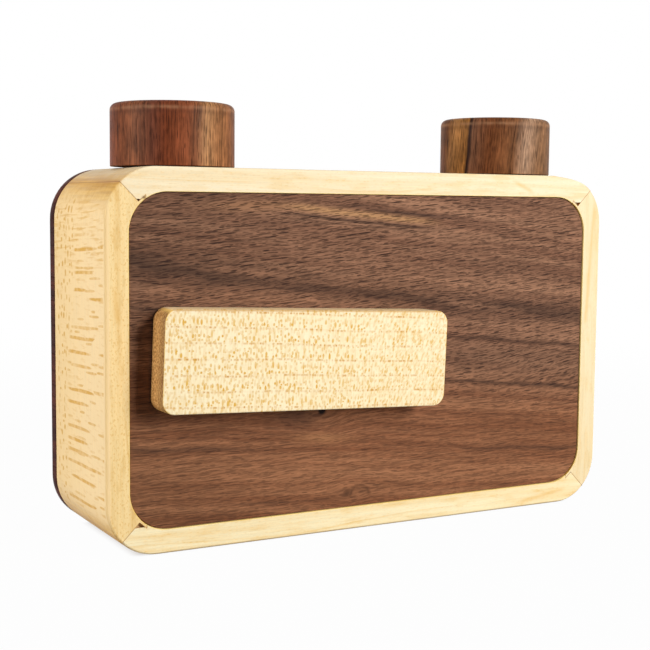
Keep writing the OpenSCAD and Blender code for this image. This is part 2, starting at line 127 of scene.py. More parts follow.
class Tree:
    """Makes nodes in one node tree."""

    def __init__(self, nodes):
        self.nodes = nodes

    def pick(self, sockets, key):
        by_identifier = {socket.identifier: socket for socket in sockets}
        return by_identifier.get(key) or sockets[key]

    def node(self, kind, sockets=None, out=0, **settings):
        made = self.nodes.nodes.new(kind)
        for key, value in settings.items():
            setattr(made, key, value)
        for key, value in (sockets or {}).items():
            socket = self.pick(made.inputs, key)
            if isinstance(value, Link):
                self.nodes.links.new(value.socket, socket)
            else:
                socket.default_value = value
        if isinstance(out, tuple):
            return [Link(self, self.pick(made.outputs, key)) for key in out]
        return Link(self, self.pick(made.outputs, out))

    def math(self, operation, *values):
        return self.node("ShaderNodeMath", dict(enumerate(values)), operation=operation)

    def most(self, first, *others):
        for other in others:
            first = self.math("MAXIMUM", first, other)
        return first

    def least(self, first, second):
        return self.math("MINIMUM", first, second)


print("helpers: Link, Tree")

# %% [markdown]
# ## What every finish needs
# A finish reads the piece's own coordinates, in millimetres here, so that one number in a pattern is one
# millimetre on the wood. Noise stretched along the grain gives streaks. Short dashes, such as pores and ray
# flecks, come from Voronoi cells: each cell holds one spot, and an oval round that spot is one dash.

# %% Define the finish helper
def paint(colour):
    """A colour as the eye reads it, 0 to 255, turned into the linear numbers that shaders use."""
    shares = [value / 255 for value in colour]
    linear = [s / 12.92 if s <= 0.04045 else ((s + 0.055) / 1.055) ** 2.4 for s in shares]
    return (*linear, 1)


class Finish(Tree):
    """A material with one Principled shader."""

    def __init__(self, name, roughness=0.5, metallic=0, specular=0.5):
        self.material = bpy.data.materials.new(name)
        self.material.use_nodes = True
        super().__init__(self.material.node_tree)
        self.shader = self.nodes.nodes["Principled BSDF"]
        self.shader.inputs["Roughness"].default_value = roughness
        self.shader.inputs["Metallic"].default_value = metallic
        self.shader.inputs["Specular IOR Level"].default_value = specular

    def place(self, centre=(0, 0, 0), turned=(0, 0, 0)):
        point = self.node("ShaderNodeTexCoord", out="Object")
        sockets = {"Vector": point, "Location": centre, "Rotation": turned, "Scale": (MM, MM, MM)}
        moved = self.node("ShaderNodeMapping", sockets, vector_type="TEXTURE")
        return self.split(moved)

    def split(self, vector):
        return self.node("ShaderNodeSeparateXYZ", {"Vector": vector}, ("X", "Y", "Z"))

    def vector(self, a, b, c=0):
        return self.node("ShaderNodeCombineXYZ", {"X": a, "Y": b, "Z": c})

    def noise(self, a, b, c, detail=2):
        sockets = {"Vector": self.vector(a, b, c), "Scale": 1, "Detail": detail}
        return self.node("ShaderNodeTexNoise", sockets, "Fac")

    def ramp(self, value, low, high):
        sockets = {"Value": value, "From Min": low, "From Max": high}
        return self.node("ShaderNodeMapRange", sockets, interpolation_type="SMOOTHSTEP")

    def patches(self, a, b, c, detail, low, high):
        return self.ramp(self.noise(a, b, c, detail), low, high)

    def bell(self, value, width):
        part = value / width
        return self.math("EXPONENT", part * part * -1)

    def size(self, value):
        return self.math("ABSOLUTE", value)

    def mix(self, factor, first, second, mode="MIX"):
        first, second = [paint(c) if isinstance(c, tuple) else c for c in (first, second)]
        sockets = {"Factor_Float": factor, "A_Color": first, "B_Color": second}
        return self.node("ShaderNodeMix", sockets, "Result_Color", data_type="RGBA", blend_type=mode)

    def lay(self, share, tint):
        """Lays a tint over the colour so far, as thickly as `share` says."""
        self.colour = self.mix(share, self.colour, tint)

    def tone(self, amount):
        self.colour = self.shade(self.colour, amount)

    def shade(self, colour, amount):
        """A colour made darker or lighter by a factor that varies."""
        grey = self.node("ShaderNodeCombineColor", {"Red": amount, "Green": amount, "Blue": amount})
        return self.mix(1, colour, grey, "MULTIPLY")

    def dashes(self, along, across, cell, dash, keep=0.8, scatter=0.9, blunt=False):
        """Ovals of half length and half width `dash`, one in each cell, in a share `keep` of the cells.
        Blunt ones keep their width almost to the ends."""
        run = along / cell[0]
        row = across / cell[1]
        sockets = {"Vector": self.vector(run, row), "Scale": 1, "Randomness": scatter}
        out = ("Color", "Position")
        colour, spot = self.node("ShaderNodeTexVoronoi", sockets, out, voronoi_dimensions="2D")
        chance, reach, strength = self.split(colour)
        spot_run, spot_row, _ = self.split(spot)
        length = (run - spot_run) * (cell[0] / dash[0]) / (reach + 0.45)
        width = (row - spot_row) * (cell[1] / dash[1])
        taper = length * length
        if blunt:
            taper = taper * taper
        oval = self.ramp(taper + width * width, 1, 0.25)
        return oval * self.ramp(chance, keep + 0.05, keep - 0.05) * (strength * 0.6 + 0.4)

    def end_grain(self):
        """How much end grain the surface shows, which each piece stores as an attribute."""
        return self.node("ShaderNodeAttribute", {}, "Fac", attribute_name="end_grain")

    def stripes(self, share, stops):
        """A colour ramp with these stops."""
        link = self.node("ShaderNodeValToRGB", {"Fac": share}, "Color")
        elements = link.socket.node.color_ramp.elements
        while len(elements) < len(stops):
            elements.new(0.5)
        for element, (position, colour) in zip(elements, stops):
            element.position = position
            element.color = paint(colour)
        return link

    def finish(self, roughness=None, height=None, depth=0.05, strength=0.5):
        """Links what varies to the shader. `depth` is the bump's reach in millimetres."""
        links = self.nodes.links
        links.new(self.colour.socket, self.shader.inputs["Base Color"])
        if roughness is not None:
            links.new(roughness.socket, self.shader.inputs["Roughness"])
        if height is not None:
            sockets = {"Strength": strength, "Distance": depth * MM, "Height": height}
            bump = self.node("ShaderNodeBump", sockets, "Normal")
            links.new(bump.socket, self.shader.inputs["Normal"])
        return self.material


print("maple cream as linear numbers:", [round(v, 3) for v in paint((248, 230, 190))])

# %% [markdown]
# ## The walnut front
# The front is one thin walnut board with its grain lying across. Its upper half is a cool grey brown,
# crossed by a smoky dark band that falls to the right, and full of short dark pores. The lower half is
# redder and silkier, with a small black knot just under the bar. The features that catch the eye get a
# place of their own; the rest is noise that follows the same lines of growth.

# %% Make the walnut front finish
knot_x, knot_z = -14.8, 29.2
swirl_x, swirl_z = -7.7, 9


def walnut_front_finish():
    f = Finish("walnut_front", specular=0.06)
    x, y, z = f.place()
    upper = f.ramp(z + x * 0.1, 26, 46)
    drift = f.noise(x * 0.014, y * 0.02, z * 0.035, 1) - 0.5
    ripple = f.noise(x * 0.06, y * 0.02, z * 0.11, 1) - 0.5
    near_knot = f.bell(x - knot_x, 8) * f.bell(z - knot_z, 4.5)
    near_swirl = f.bell(x - swirl_x, 6) * f.bell(z - swirl_z, 3)
    pulled = z - (z - knot_z) * near_knot * 0.75 - (z - swirl_z) * near_swirl * 0.75
    wave = drift * 4 + ripple * 1.2
    line = pulled + x * (upper * 0.04 + 0.08) + wave
    fibre_line = pulled - x * (upper * 0.08 + 0.02) + wave

    streak = f.patches(x * 0.012, y * 0.03, line * 0.4, 3, 0.3, 0.7)
    fibre = f.noise(x * 0.06, y * 0.2, fibre_line * 2.2, 4)
    cool = f.mix(streak, (116, 80, 60), (145, 105, 80))
    warm = f.mix(streak, (118, 74, 49), (150, 102, 71))
    f.colour = f.mix(upper, warm, cool)
    hair = f.noise(x * 0.22, y * 0.3, fibre_line * 5.5, 2)
    # The last term is painted shade: the front is made darker towards its left end, where less lamp light
    # falls.
    f.tone(fibre * 1.15 + hair * 1.05 - 0.225 + f.ramp(x, -66, -10) * 0.24)

    right = f.ramp(x, 8, 20)
    band_line = z + x * 0.127 + ripple * 4 + drift * 3
    band = f.bell(band_line - 57.2, 2.5) * f.patches(x * 0.03, y, line * 0.4, 2, 0.2, 0.6)
    smoke = f.patches(x * 0.008, y * 0.01, line * 0.13, 2, 0.5, 0.7) * upper
    upper_line = f.bell(z + x * 0.115 - 48.3 + ripple * 2.4 + (fibre - 0.5) * 1.2, 0.6)
    lower_line = f.bell(z + x * 0.097 - 36.7 + ripple * 2 + (fibre - 0.5) * 1.2, 0.55) * right
    grey_zone = f.bell(z + x * 0.1 - 42, 4.2) * right
    low_line = f.bell(z + x * 0.08 + ripple * 2 - 19.2, 0.6) * f.ramp(f.size(x + 4), 18, 40)
    thin_line = f.bell(z + x * 0.067 + ripple * 0.8 - 6.8, 0.25) * f.bell(x + 28, 14)
    lines = upper_line * 0.55 + lower_line * 0.65 + low_line * 0.5 + thin_line * 0.5
    dark = f.least(band * 0.72 + smoke * 0.1 + grey_zone * 0.3 + lines, 0.8)
    f.lay(dark, (57, 39, 31))

    gold_line = z + (x + 5) * 0.09 - 75.8 + ripple * 0.8
    gold_run = f.ramp(f.size(x + 5), 26, 12)
    f.lay(f.bell(gold_line, 0.8) * gold_run * 0.75, (192, 144, 98))
    f.lay(f.bell(x + 34, 10) * f.bell(z - 77.6, 1.3) * 0.45, (168, 120, 82))
    f.lay(f.bell(gold_line - 1.5, 0.45) * f.bell(x - 9, 14) * 0.65, (58, 42, 36))
    f.lay(f.bell(gold_line + 1.7, 0.4) * gold_run * 0.75, (50, 33, 27))
    f.lay(f.bell(gold_line + 2.7, 0.25) * gold_run * 0.55, (56, 37, 30))

    cloud = f.bell(x - knot_x + 6.5, 6.5) * f.bell(z - knot_z + 0.6, 2.6)
    f.lay(cloud * 0.55, (58, 42, 36))
    glow = f.bell(x - knot_x, 7) * f.bell(z + x * 0.08 - 21.7, 1.1)
    f.lay(glow * 0.5, (180, 128, 86))
    heart = f.bell(x - knot_x, 1.4) * f.bell(z - knot_z - 0.3, 1.1) + (hair - 0.5) * 0.9
    heart = f.ramp(heart, 0.3, 0.75)
    eye = f.bell(x - swirl_x, 1.1) * f.bell(z - swirl_z, 0.8)
    ring_x = x - swirl_x - 3.4
    ring_z = z - swirl_z + 1.3
    ring = f.math("SQRT", ring_x * ring_x + ring_z * ring_z) - 2.7
    eyelid = f.bell(ring, 0.5) * f.ramp(ring_z, -0.6, 1)
    f.lay(f.most(heart, eye * 0.5, eyelid * 0.4), (20, 13, 12))

    coarse = f.dashes(x, fibre_line, (4.4, 0.8), (2, 0.18), 0.85)
    short = f.dashes(x + 31, fibre_line + 17, (2.7, 0.56), (1.25, 0.135), 0.85)
    fine = f.dashes(x + 57, fibre_line + 43, (1.9, 0.42), (0.85, 0.11), 0.8)
    pores = f.most(coarse, short * 0.85, fine * 0.7) * (upper * 0.4 + 0.6)
    f.lay(pores * 0.92, (42, 28, 25))

    roughness = fibre * 0.16 + 0.46 + pores * 0.2
    return f.finish(roughness, fibre * 0.35 - pores, 0.06, 0.5)


walnut_front = walnut_front_finish()
print(walnut_front.name, "nodes:", len(walnut_front.node_tree.nodes))

# %% [markdown]
# ## Turned walnut for the knobs
# The knobs are turned from walnut with the grain standing upright, so stripes run down their sides and
# across their tops. The growth lines of a sawn blank are nearly flat sheets, which a colour ramp across the
# blank gives; the ramp also holds a pale band on each knob's right, a painted highlight. Where the rounded
# upper edge begins, a pale line along a low ridge is a painted highlight, with a painted shade just below
# it.

# %% Make the two knob finishes
knob_width, knob_middle = 28.7, 7.2


def turned_walnut_finish(name, node, stops, facing, slant):
    """The stops run across the blank, `facing` degrees from +X, and lean by `slant`."""
    low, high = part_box(node)
    middle = (low + high) / 2
    f = Finish(name, specular=0.05)
    x, y, z = f.place((middle.x, middle.y, low.z))
    across_x = math.cos(math.radians(facing))
    across_y = math.sin(math.radians(facing))
    across = x * across_x + y * across_y
    inward = y * across_x - x * across_y
    waver = f.noise(across * 0.12, inward * 0.12, z * 0.06 + 5, 2) - 0.5
    line = across + waver * 1.6 - (z - knob_middle) * slant
    share = line / knob_width + 0.5
    f.colour = f.stripes(share, stops)
    fibre = f.noise(line * 3, inward * 0.9, z * 0.09, 5)
    cloud = f.noise(line * 0.3, inward * 0.2, z * 0.14, 3)
    blotch = f.noise(line, inward * 0.5, z * 0.42, 3)
    f.tone(fibre * 2.2 + cloud + blotch * 1.2 - 1.2)
    around = f.math("ARCTAN2", y, x) * 14
    pores = f.dashes(z, around + waver, (4, 0.62), (1.5, 0.11), 0.85)
    f.lay(pores * 0.75, (50, 22, 14))
    # The pale line along the ridge is a painted highlight, broken into patches by noise, and the dark band
    # just below it is painted shade.
    ridge = (high.z - low.z) / MM - 1.6
    highlight_patches = f.noise(x * 0.4, y * 0.4, z * 0.4, 2)
    f.lay(f.bell(z - ridge, 0.4) * f.ramp(highlight_patches, 0.25, 0.65) * 0.34, (190, 142, 106))
    f.lay(f.bell(z - ridge + 0.9, 0.5) * 0.22, (60, 36, 30))
    roughness = fibre * 0.18 + 0.34 + pores * 0.2
    return f.finish(roughness, fibre * 0.3 - pores, 0.04, 0.5)


deep_red = (108, 54, 32)
dark_line = (52, 30, 22)
# The bright stops from 0.7 to 0.86 are a painted highlight from the lamp at the front right, not grain.
takeup_stops_with_highlight = [
    (0, deep_red), (0.2, (130, 78, 50)), (0.34, (100, 56, 40)), (0.45, deep_red),
    (0.62, (124, 68, 42)), (0.7, (124, 76, 48)), (0.77, (170, 122, 80)), (0.86, (146, 98, 62)),
    (1, (116, 70, 42)),
]
# The bright stop at 0.8 and its neighbours are a painted highlight from the lamp at the front right, not
# grain.
supply_stops_with_highlight = [
    (0, (118, 76, 50)), (0.06, (108, 64, 36)), (0.12, (166, 116, 70)), (0.25, (158, 104, 50)),
    (0.264, dark_line), (0.272, dark_line), (0.29, (122, 80, 56)), (0.45, (108, 62, 35)),
    (0.68, (112, 72, 44)), (0.8, (166, 130, 102)), (0.9, (128, 92, 64)),
    (1, (112, 76, 46)),
]
takeup_walnut = turned_walnut_finish("turned_walnut_takeup", "takeup_knob", takeup_stops_with_highlight, -22.2, 0.02)
supply_walnut = turned_walnut_finish("turned_walnut_supply", "supply_knob", supply_stops_with_highlight, -36.6, 0.1)
print(takeup_walnut.name, supply_walnut.name)

# %% [markdown]
# ## Walnut for the rear cover
# The cover is a plain board with the grain lying across. It takes the same kinds of pattern as the front,
# without the knots. Its left end, the only part in the photo, is end grain, and the end grain is made
# nearly black.

# %% Make the rear cover finish
def walnut_cover_finish():
    f = Finish("walnut_cover", specular=0.03)
    x, y, z = f.place()
    drift = f.noise(x * 0.013 + 7, y * 0.02, z * 0.03, 1) - 0.5
    line = z - x * 0.03 + drift * 12
    arch = f.bell(x - 12, 60) * 6
    streak = f.patches(x * 0.012, y * 0.03, (line + arch) * 0.35, 3, 0.3, 0.7)
    fibre = f.noise(x * 0.045, y * 0.3, line * 2.4, 3)
    f.colour = f.mix(streak, (104, 66, 48), (140, 96, 70))
    # Where the surface shows end grain, the colour is made nearly black.
    end_grain_mask = f.ramp(f.end_grain(), 0.05, 0.35)
    f.lay(end_grain_mask, f.mix(streak, (46, 16, 13), (82, 38, 28)))
    f.tone(fibre * 0.9 + 0.5)
    pores = f.dashes(x, line, (6.5, 1.1), (1.8, 0.19), 0.85)
    f.lay(pores * 0.8, (34, 20, 16))
    return f.finish(fibre * 0.16 + 0.42 + pores * 0.2, fibre * 0.35 - pores, 0.06, 0.6)


walnut_cover = walnut_cover_finish()
print(walnut_cover.name)

# %% [markdown]
# ## Joints, pocket and stain
# At each corner of the frame the joint shows as a thin brown line, a mitre that ends in a short foot. The
# edge of the pocket round the front gets a golden line, partly oil soaked into the edge and partly a
# painted highlight for the lit wall of the pocket, and the inside is stained black. Each becomes a mask, a
# number from 0 to 1 that is worked out from a point's own place.

# %% Define the frame's masks
case_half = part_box("right_rail")[1].x
rail_low, rail_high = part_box("top_rail")
case_top = rail_high.z
face_y, back_y = rail_low.y / MM, rail_high.y / MM
half_width = case_half / MM
case_height = case_top / MM
panel_low, panel_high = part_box("front_panel")
pocket_half_x = panel_high.x / MM
pocket_half_z = (panel_high.z - panel_low.z) / 2 / MM
pocket_radius = 8.9
mitre_end = 7.7
foot_end = 9.4
foot_slope = 0.8
# Where a painted shade for a small chip at the top left joint sits, in millimetres.
chip_shade_x, chip_shade_z = -59.5, 79.15
stain_end = 16.3


def from_edges(f, x, z):
    return half_width - f.size(x), case_height / 2 - f.size(z - case_height / 2)


def glue_lines(f, x, y, z):
    """The corner joints' brown lines: a mitre from each outer corner, a foot, and a tick to the pocket."""
    from_side, from_end = from_edges(f, x, z)
    past_mitre = f.ramp(from_side, mitre_end - 0.05, mitre_end + 0.05)
    past_foot = f.ramp(from_side, foot_end - 0.05, foot_end + 0.05)
    mitre = f.ramp(f.size(from_side - from_end), 0.2, 0.06) * (1 - past_mitre)
    foot_gap = from_end - mitre_end + (from_side - mitre_end) * foot_slope
    foot = f.ramp(f.size(foot_gap), 0.2, 0.06) * past_mitre * (1 - past_foot)
    foot_level = mitre_end - (foot_end - mitre_end) * foot_slope
    tick = f.ramp(f.size(from_side - foot_end), 0.16, 0.05)
    tick = tick * f.ramp(from_end, foot_level - 0.1, foot_level)
    below_face = f.least(y - face_y, back_y - y)
    skin = f.most(f.ramp(below_face, 0.4, 0.25), f.ramp(from_side, 4, 3.8))
    strength = f.ramp(below_face, 0.4, 0.8) * 0.3 + 0.5
    lines = f.most(mitre, foot, tick) * skin * strength
    at_tip = f.ramp(f.size(from_side - mitre_end), 1.6, 1.4)
    at_tip = at_tip * f.ramp(f.size(from_end - mitre_end), 1.6, 1.4)
    chip_floor = at_tip * f.ramp(below_face, 0.6, 0.7) * f.ramp(below_face, 1.2, 1)
    return f.most(lines, chip_floor * 0.7)


def pocket_gap(f, x, z):
    """How far a point lies outside the front panel's outline."""
    past_x = f.most(f.size(x) - (pocket_half_x - pocket_radius), 0)
    past_z = f.most(f.size(z - case_height / 2) - (pocket_half_z - pocket_radius), 0)
    return f.math("SQRT", past_x * past_x + past_z * past_z) - pocket_radius


def inside_mask(f, x, y, z):
    """1 on the faces inside the case, which are stained black against stray light."""
    from_side, from_end = from_edges(f, x, z)
    within = f.ramp(f.least(from_side, from_end), foot_end - 0.1, foot_end - 0.04)
    stain_start = panel_high.y / MM
    return within * f.ramp(y, stain_start - 0.1, stain_start) * f.ramp(y, stain_end + 0.1, stain_end)


print("case in mm:", round(half_width * 2, 1), "by", round(case_height, 1))

# %% [markdown]
# ## Ray flecks on the left side
# On the left side the wood's rays show as a ladder of dashes in front, strings of dots behind them and
# wrinkles near the top. A slow noise bends the rows, so that none looks ruled.

# %% Define the fleck mask
def side_fleck_mask(f, y, z):
    waver = f.noise(y * 0.09, z * 0.09, 4, 1) - 0.5
    level = z + y * (f.ramp(z, 10, 50) * 0.03 + 0.02) + waver * 0.5
    blotch = f.patches(y * 0.45, z * 0.5, 9, 2, 0.32, 0.6)
    start = f.ramp(z, 62, 38) * 6 + 0.5
    front = f.ramp(y - start, 1, -0.6) * f.ramp(y, -18.8, -17.8)
    rungs = f.dashes(y + 4.5, level, (27, 2.9), (13, 0.48), 0.8, 0.45, True) * (blotch * 0.6 + 0.4)
    steps = f.dashes(y + 40, level + 9, (9, 2.6), (3.2, 0.36), 0.6, 0.9, True) * (blotch * 0.5 + 0.4)
    ladder = f.most(rungs, steps * 0.8) * front * (f.ramp(z, 75, 66) * 0.8 + 0.2)
    column = f.ramp(y - start, 0.5, 2) * f.ramp(y, 15.5, 12.5)
    dots = f.dashes(z, y + waver * 2, (2.1, 2), (0.75, 0.62), 0.8) * column
    rows = f.patches(y * 0.3, z * 1.3, 2, 3, 0.5, 0.72) * 0.25
    wrinkles = f.patches(y * 0.1, level * 1.2, 6, 3, 0.5, 0.68) * f.ramp(z, 58, 70) * 0.55
    return f.least(ladder * 1.2 + dots * 1.1 + rows + wrinkles, 1)


print("helper: side_fleck_mask")

# %% [markdown]
# ## Oiled maple for the frame
# Maple is pale and close grained: long faint streaks, a few thin golden growth lines and very fine fibre.
# The four rails differ, since each was cut from another place in the board.

# %% Make the maple finish for rails
def maple_rail_finish(name, upright, pale, gold, share, vein, side_flecks=False):
    """`vein` is a golden line on the face, from one place to another as x and z."""
    f = Finish(name, specular=0.12)
    x, y, z = f.place()
    along, across = (z, x) if upright else (x, z)
    drift = f.noise(along * 0.012, across * 0.03, y * 0.03, 1) - 0.5
    line = across + drift * 7 + along * 0.015
    streak = f.patches(along * 0.014, line * 0.5, y * 0.4, 4, 0.36, 0.68)
    ring = f.math("FRACT", (line + y * 0.45) * 0.19 + drift * 1.2)
    growth = f.ramp(ring, 0.86, 1) * f.patches(along * 0.03, line * 0.2, y * 0.1, 1, 0.45, 0.65)
    fibre = f.noise(along * 0.14, across * 4.5, y * 4.5, 2)
    mottle = f.patches(along * 0.16, across * 0.7, y * 0.7, 4, 0.48, 0.7)
    speck = f.dashes(along, across + y, (1.7, 0.75), (0.5, 0.17), 0.7)
    f.colour = f.mix(streak * share + growth * 0.5 + mottle * 0.35 + speck * 0.3, pale, gold)
    grit = f.noise(along * 1.6, across * 2.2, y * 2.2, 2)
    f.tone(fibre * 0.22 + grit * 0.14 + 0.82)
    f.lay(f.ramp(grit, 0.5, 0.72) * (0.6 if side_flecks else 0.2), gold)
    (x0, z0), (x1, z1) = vein
    length = math.hypot(x1 - x0, z1 - z0)
    beside = ((x - x0) * (z1 - z0) - (z - z0) * (x1 - x0)) / length
    beyond = ((x - (x0 + x1) / 2) * (x1 - x0) + (z - (z0 + z1) / 2) * (z1 - z0)) / length
    vein_mask = f.bell(beside + drift * 1.5, 0.55) * f.ramp(f.size(beyond), length / 2, length / 2 - 3)
    f.lay(vein_mask * 0.5, (234, 188, 110))
    # A golden line along the pocket's edge: partly oil soaked into the edge, partly a painted highlight for
    # the lit wall of the pocket.
    pocket_soak_and_highlight = f.ramp(pocket_gap(f, x, z), 0.32, 0.15) * f.ramp(y, face_y + 1.5, face_y + 0.8)
    f.lay(pocket_soak_and_highlight * 0.6, (255, 218, 108))
    # Painted shade: a brown line along the bottom edge, where the rounding turns down towards the floor,
    # that also browns the underside.
    f.lay(f.ramp(z, 0.6, 0.15) * 0.55, (146, 100, 48))
    if side_flecks:
        on_side = f.ramp(x, 1.4 - half_width, 0.5 - half_width)
        flecks = side_fleck_mask(f, y, z) * f.ramp(y, face_y + 0.3, face_y + 1)
        # Painted shade: the side turns darker and more golden towards the back, where less lamp light
        # reaches.
        side_pale = f.mix(f.ramp(y, -12, 16), (248, 217, 164), (247, 213, 153))
        side_colour = f.mix(flecks, side_pale, (218, 165, 70))
        f.lay(on_side, f.shade(side_colour, fibre * 0.2 + 0.9 - f.ramp(y, -4, 16) * 0.05))
        rim = f.bell(x + half_width - 0.25, 0.4) * f.bell(y - face_y - 0.25, 0.4)
        f.lay(rim * 0.5, (238, 198, 128))
    rubbed = f.patches(y * 0.05, x * 1.1, z * 1.1, 4, 0.3, 0.7)
    end_grain_mask = f.least(f.end_grain() * 2.2, 1)
    f.lay(end_grain_mask * 0.85, f.mix(rubbed, (188, 128, 38), (225, 171, 70)))
    f.lay(glue_lines(f, x, y, z), (158, 102, 40))
    # Painted shade: a dark spot near the top left joint stands in for the shadow inside a small chip there.
    chip_shade = f.bell(x - chip_shade_x, 0.4) * f.bell(z - chip_shade_z, 0.35)
    chip_shade = chip_shade * f.ramp(y, face_y + 0.6, face_y + 0.3)
    f.lay(chip_shade * 0.85, (92, 52, 24))
    stain = f.mix(fibre, (22, 20, 19), (40, 37, 35))
    f.lay(inside_mask(f, x, y, z), stain)
    return f.finish(fibre * 0.2 + 0.36, fibre, 0.03, 0.35)


rail_finishes = {
    "top_rail": maple_rail_finish(
        "maple_top", False, (247, 231, 196), (238, 206, 148), 0.45, ((38.8, 84.9), (47.2, 81.2))
    ),
    "bottom_rail": maple_rail_finish(
        "maple_bottom", False, (251, 236, 194), (240, 204, 138), 0.5, ((43, 1.2), (60, 3.6))
    ),
    "left_rail": maple_rail_finish(
        "maple_left", True, (248, 218, 158), (221, 173, 92), 0.3, ((-66.3, 61), (-65.8, 51)), True
    ),
    "right_rail": maple_rail_finish(
        "maple_right", True, (242, 223, 182), (234, 201, 140), 0.4, ((66.4, 79.5), (64.4, 46))
    ),
}
print("rail finishes:", ", ".join(rail_finishes))

# %% [markdown]
# ## Flecked maple for the shutter bar
# The bar was cut on the quarter, so the wood's rays come to the surface as a crowd of small upright golden
# flecks, paler and leaning towards the right end. The growth lines run along the bar about 3.5 mm apart,
# each with a string of darker dots. The narrow sides show plain long grain and are painted lighter, a
# painted highlight. The ends show end grain, which drinks more oil and looks golden brown, with painted
# shade that darkens it towards the front. A mapping turns the pattern with the bar.

# %% Make the bar's finish
bar_low, bar_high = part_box("shutter_bar")
bar_middle = (bar_low + bar_high) / 2
bar_front, bar_back = bar_low.y / MM, bar_high.y / MM
bar_tilt = math.radians(2.1)
bar_half = 11.5
growth_step = 3.55


def maple_bar_finish():
    f = Finish("maple_bar", specular=0.25)
    along, y, across = f.place((bar_middle.x, 0, bar_middle.z), (0, bar_tilt, 0))
    drift = f.noise(along * 0.03, y * 0.05, across * 0.06, 1) - 0.5
    row = across + drift * 1.4 + along * 0.019
    share = f.math("FRACT", row / growth_step + 0.93)
    edge = f.ramp(share, 0.8, 0.9) * f.ramp(share, 1, 0.94)
    crowd = f.ramp(share, 0.8, 0.15)
    patch = f.patches(along * 0.09, y * 0.1, row * 0.4, 2, 0.35, 0.65)
    rightward = f.ramp(along, -2, 34)
    leaning = along - across * rightward * 0.4
    tall = f.dashes(across, leaning, (2, 1.1), (0.85, 0.33), 0.85)
    small = f.dashes(across + 20, leaning + 9, (1.2, 0.95), (0.46, 0.32), 0.9)
    dots = f.dashes(along, row, (1.1, growth_step), (0.42, 3), 0.8) * edge * (patch * 0.4 + 0.6)
    columns = f.patches(along * 2.2, y * 0.4, across * 0.35, 3, 0.42, 0.68)
    flecks = f.most(tall * (patch * 0.4 + 0.5), small * (0.95 - patch * 0.4))
    sand = f.patches(along * 1.7, y, across * 1.4, 2, 0.45, 0.7) * rightward * 0.3
    flecks = flecks * (crowd * 0.55 + 0.65) * (1 - rightward * 0.4) + columns * 0.24 + sand
    flecks = f.least(flecks, 1)
    on_front = f.ramp(y, bar_front + 0.8, bar_front + 0.4)
    on_back = f.ramp(y, bar_back - 0.8, bar_back - 0.4)
    on_face = f.most(on_front, on_back)
    long_grain = f.patches(along * 0.03, y * 1.3, across * 0.3, 3, 0.42, 0.7) * 0.4
    flecks = flecks * on_face + long_grain * (1 - on_face)
    dots = dots * on_face
    fibre = f.noise(along * 0.2, y * 4, across * 4, 2)
    f.colour = f.mix(patch * 0.4, (251, 235, 196), (249, 227, 179))
    f.tone(fibre * 0.12 + 0.94)
    f.lay(flecks, (221, 170, 58))
    f.lay(f.least(dots + edge * patch * 0.12, 1) * 0.9, (206, 144, 34))
    # Painted highlight: the narrow sides are made lighter, standing in for light from above that the lamps
    # do not give.
    f.lay((1 - on_face) * 0.7, (255, 221, 168))
    crease = f.bell(across - bar_half + 0.2, 0.2) * on_front
    f.lay(crease * 0.8, (196, 146, 72))
    speckle = f.patches(along * 1.5, y * 2, across * 2, 4, 0.35, 0.65)
    end_colour = f.mix(speckle, (146, 98, 46), (206, 160, 100))
    # Painted shade: the end grain is made darker towards the front edge and lighter towards the back.
    depth = f.ramp(y, bar_front, bar_back)
    end_colour = f.shade(end_colour, depth * 0.75 + 0.7)
    end_share = f.end_grain()
    f.lay(f.ramp(end_share, 0.01, 0.15) * 0.8, (240, 192, 92))
    f.lay(f.ramp(end_share, 0.12, 0.5), end_colour)
    return f.finish(fibre * 0.2 + 0.38, fibre - flecks * 0.4, 0.03, 0.35)


maple_bar = maple_bar_finish()
print(maple_bar.name, "centre x, z:", round(bar_middle.x, 4), round(bar_middle.z, 4))

# %% [markdown]
# ## The small maple flap
# The flap on the back is a short offcut of the same board as the rails, with its grain standing upright.

# %% Make the flap's finish
def maple_flap_finish():
    f = Finish("maple_flap", specular=0.35)
    x, y, z = f.place()
    drift = f.noise(x * 0.05, y * 0.05, z * 0.02, 1) - 0.5
    line = x + drift * 3
    streak = f.patches(line * 0.7, y * 0.4, z * 0.03, 3, 0.35, 0.7)
    fibre = f.noise(x * 4.5, y * 4.5, z * 0.14, 2)
    f.colour = f.mix(streak * 0.7, (248, 230, 186), (232, 194, 126))
    f.tone(fibre * 0.16 + 0.92)
    flecks = f.dashes(x, z, (2.4, 2), (0.8, 0.2), 0.6)
    f.lay(flecks * 0.5, (214, 164, 92))
    f.lay(f.end_grain() * 0.5, (206, 156, 94))
    return f.finish(fibre * 0.2 + 0.36, fibre, 0.03, 0.35)


maple_flap = maple_flap_finish()
print(maple_flap.name)

# %% [markdown]
# ## Black stained wood
# The chamber's walls, the film's rails and the light trap are stained a dull black, so that no stray light
# reaches the film. The grain still shows as faint ridges.

# %% Make the black wood finish
def black_wood_finish():
    f = Finish("black_stained_wood", specular=0.25)
    x, y, z = f.place()
    grain = f.noise(x * 0.25, y * 2.2, z * 0.6, 4)
    cloud = f.noise(x * 0.05, y * 0.1, z * 0.05, 2)
    f.colour = f.mix(grain * 0.6 + cloud * 0.3, (18, 16, 15), (52, 46, 42))
    pores = f.dashes(x, z + y, (5, 1.1), (1.4, 0.16), 0.7)
    f.lay(pores * 0.6, (9, 8, 8))
    return f.finish(grain * 0.2 + 0.62, grain * 0.5 - pores, 0.06, 0.6)


black_wood = black_wood_finish()
print(black_wood.name)

# %% [markdown]
# ## Metals, felt and plastics
# Turned metal carries fine rings from the lathe, and plated magnets are smoother. Felt looks soft because
# its mat of fibres is never even. The spool is moulded plastic with a fine grain, and the counter window is
# red plastic with a glossy face.

